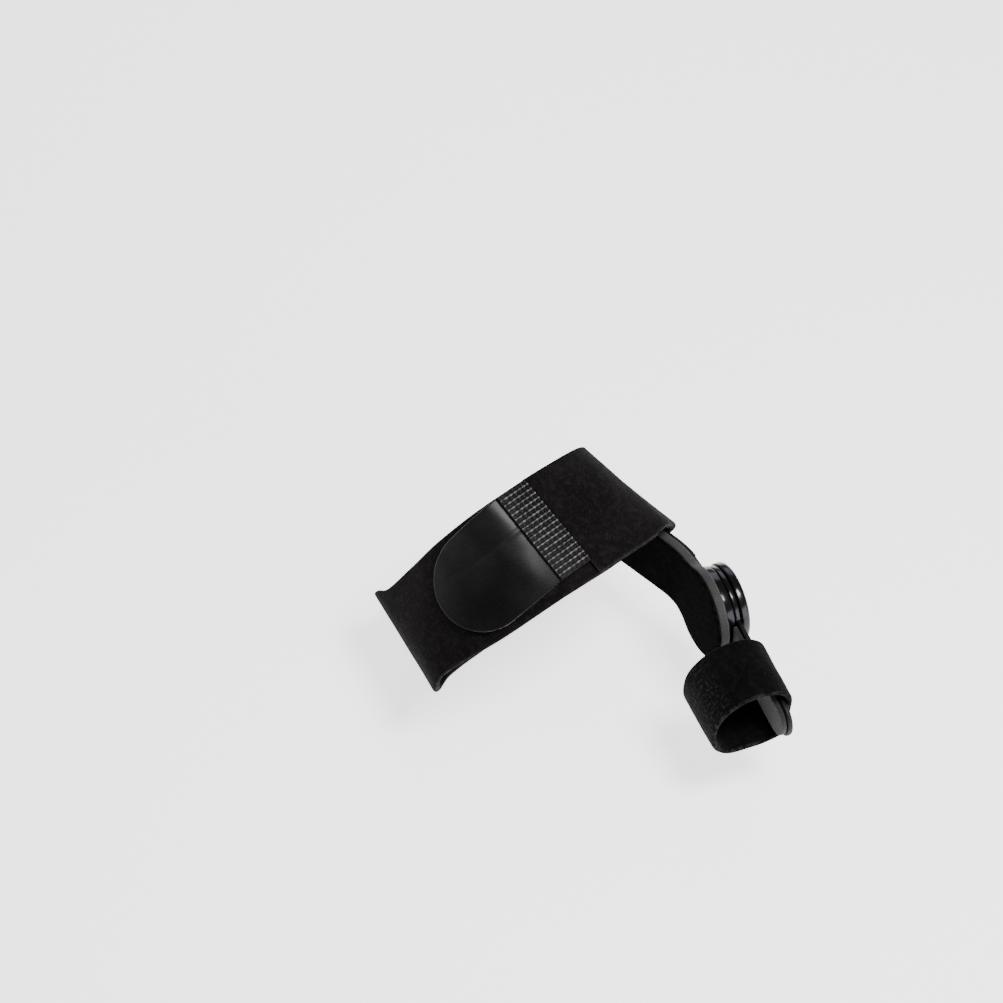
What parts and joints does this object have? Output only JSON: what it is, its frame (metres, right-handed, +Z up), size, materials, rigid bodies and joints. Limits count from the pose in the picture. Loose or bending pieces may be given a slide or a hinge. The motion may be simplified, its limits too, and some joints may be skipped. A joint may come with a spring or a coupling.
{
  "type": "bunion corrector",
  "caption": "Hinged bunion splint worn on a right foot: a wide midfoot band with a closure tab, a padded side arm with a pivot, and a narrow band round the big toe.",
  "frame": {"origin": "middle of the midfoot band's width on its inner face, at the middle of its flat run under the sole", "axes": "+X towards the toes, +Y towards the inner side of the right foot, +Z up from the sole to the instep"},
  "size_m": [0.1335, 0.0999, 0.0645],
  "materials": {
    "brushed_band": "brushed loop fabric, matt",
    "tab_film": "satin",
    "hook_tape": "matt",
    "grey_foam": "closed-cell foam, matt",
    "pad_lining": "brushed, matt",
    "black_plastic": "glossy"
  },
  "bodies": {
    "foot_part": {"midfoot_strap": "brushed_band", "closure_tab": "tab_film", "weld_strip": "tab_film", "hook_patch": "hook_tape", "side_pad": "grey_foam", "pad_lining": "pad_lining", "rear_arm": "black_plastic", "hinge_cap": "black_plastic"},
    "toe_part": {"toe_arm": "black_plastic", "toe_pad": "grey_foam", "toe_strap": "brushed_band"}
  },
  "joints": [
    {"name": "toe_hinge", "type": "hinge", "parent": "foot_part", "child": "toe_part", "pos_m": [0.0623, 0.0435, 0.0137], "axis": [-0.2924, -0.9563, 0], "range_deg": [-30, 45]}
  ]
}
